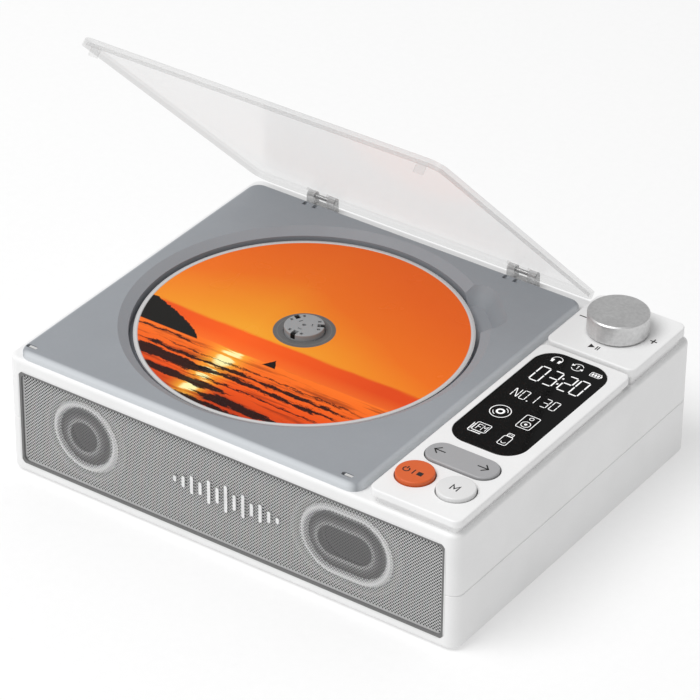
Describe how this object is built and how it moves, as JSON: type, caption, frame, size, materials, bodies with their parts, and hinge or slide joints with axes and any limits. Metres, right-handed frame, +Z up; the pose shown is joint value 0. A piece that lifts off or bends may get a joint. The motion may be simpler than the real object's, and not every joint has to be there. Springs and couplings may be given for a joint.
{
  "type": "portable cd player",
  "caption": "Boxy portable CD player with a clear hinged lid over an open disc well, a grille across the front and a control strip with display, keys and a knob.",
  "frame": {"origin": "centre of the footprint, at the height the rubber feet rest on", "axes": "+X right along the speaker grille, +Y to the rear where the lid is hinged, +Z up"},
  "size_m": [0.188, 0.148, 0.1559],
  "materials": {
    "white_shell": "satin",
    "white_button": "satin",
    "deck_grey": "matte",
    "frame_grey": "satin",
    "grille_metal": "perforated sheet",
    "chrome_trim": "polished",
    "black_plastic": "moulded",
    "driver_silver": "satin",
    "driver_rubber": "matte",
    "driver_cone": "pressed cone",
    "magnet_steel": "zinc plated",
    "foot_rubber": "matte",
    "disc_print": "printed label",
    "hub_grey": "satin",
    "plain_steel": "plain",
    "lens_glass": "coated",
    "gear_plastic": "moulded",
    "pinion_brass": "cut",
    "clear_lid": "clear moulded plastic",
    "clear_bracket": "clear moulded plastic",
    "black_glass": "tinted window",
    "display_light": "lit segments",
    "orange_button": "satin",
    "rocker_grey": "satin",
    "knob_aluminium": "bead blasted",
    "board_green": "solder mask",
    "cell_wrap": "shrink wrap"
  },
  "bodies": {
    "base": {"lower_shell": "white_shell", "upper_shell": "white_shell", "control_panel": "white_shell", "knob_plate": "white_shell", "deck_plate": "deck_grey", "disc_tray": "deck_grey", "grille_frame": "frame_grey", "speaker_grille": "grille_metal", "grille_emblem": "chrome_trim", "speaker_baffle": "black_plastic", "battery_holder": "black_plastic", "encoder_body": "black_plastic", "tact_switches": "black_plastic", "headphone_jack": "black_plastic", "lid_sensor": "black_plastic", "left_speaker_frame": "driver_silver", "right_speaker_frame": "driver_silver", "left_surround": "driver_rubber", "right_surround": "driver_rubber", "left_cone": "driver_cone", "right_cone": "driver_cone", "left_magnet": "magnet_steel", "right_magnet": "magnet_steel", "rubber_feet": "foot_rubber", "chassis_dampers": "foot_rubber", "case_screws": "plain_steel", "spindle_motor": "plain_steel", "mech_chassis": "plain_steel", "guide_rods": "plain_steel", "sled_motor": "plain_steel", "gear_pin": "plain_steel", "hinge_pins": "plain_steel", "rocker_axle": "plain_steel", "usb_c_port": "plain_steel", "usb_a_port": "plain_steel", "hinge_brackets": "clear_bracket", "display_window": "black_glass", "display_module": "display_light", "control_board": "board_green", "knob_board": "board_green", "main_board": "board_green", "battery_cells": "cell_wrap"},
    "lid": {"lid": "clear_lid"},
    "spindle": {"spindle_hub": "hub_grey", "chuck_claws": "black_plastic"},
    "disc": {"disc": "disc_print"},
    "knob_carrier": {"encoder_plunger": "gear_plastic"},
    "knob": {"volume_knob": "knob_aluminium", "encoder_shaft": "plain_steel"},
    "power_button": {"power_button": "orange_button"},
    "mode_button": {"mode_button": "white_button"},
    "track_rocker": {"track_rocker": "rocker_grey"},
    "laser_sled": {"laser_sled": "black_plastic", "laser_lens": "lens_glass"},
    "sled_gear": {"sled_gear": "gear_plastic"},
    "motor_pinion": {"motor_pinion": "pinion_brass"}
  },
  "joints": [
    {"name": "lid_hinge", "type": "hinge", "parent": "base", "child": "lid", "pos_m": [0, 0.0694, 0.052], "axis": [-1, 0, 0], "range_deg": [-45, 20]},
    {"name": "spindle_spin", "type": "hinge", "parent": "base", "child": "spindle", "pos_m": [-0.019, -0.0014, 0.046], "axis": [0, 0, 1], "continuous": true},
    {"name": "disc_lift", "type": "slide", "parent": "spindle", "child": "disc", "axis": [0, 0, 1], "range_m": [0, 0.01]},
    {"name": "knob_press", "type": "slide", "parent": "base", "child": "knob_carrier", "axis": [0, 0, -1], "range_m": [0, 0.0005], "stiffness_N_per_m": 3000, "springref_m": -0.0003},
    {"name": "knob_turn", "type": "hinge", "parent": "knob_carrier", "child": "knob", "pos_m": [0.0761, 0.0526, 0.055], "axis": [0, 0, 1], "continuous": true},
    {"name": "power_press", "type": "slide", "parent": "base", "child": "power_button", "axis": [0, 0, -1], "range_m": [0, 0.0006], "stiffness_N_per_m": 2500, "springref_m": -0.0003},
    {"name": "mode_press", "type": "slide", "parent": "base", "child": "mode_button", "axis": [0, 0, -1], "range_m": [0, 0.0006], "stiffness_N_per_m": 2500, "springref_m": -0.0003},
    {"name": "rocker_tilt", "type": "hinge", "parent": "base", "child": "track_rocker", "pos_m": [0.0756, -0.044, 0.0482], "axis": [0, 1, 0], "range_deg": [-2.2, 2.2], "stiffness_Nm_per_rad": 0.3},
    {"name": "sled_travel", "type": "slide", "parent": "base", "child": "laser_sled", "axis": [1, 0, 0], "range_m": [-0.006, 0.026]},
    {"name": "sled_gear_turn", "type": "hinge", "parent": "base", "child": "sled_gear", "pos_m": [0.021, -0.02635, 0.031], "axis": [0, 0, 1], "range_deg": [-415, 97]},
    {"name": "pinion_turn", "type": "hinge", "parent": "base", "child": "motor_pinion", "pos_m": [0.021, -0.0364, 0.0297], "axis": [0, 0, 1], "range_deg": [-288, 1243]}
  ],
  "couplings": [
    {"joint": "sled_gear_turn", "follows": "sled_travel", "rad_per_m": -277.78},
    {"joint": "pinion_turn", "follows": "sled_travel", "rad_per_m": 833.33}
  ]
}
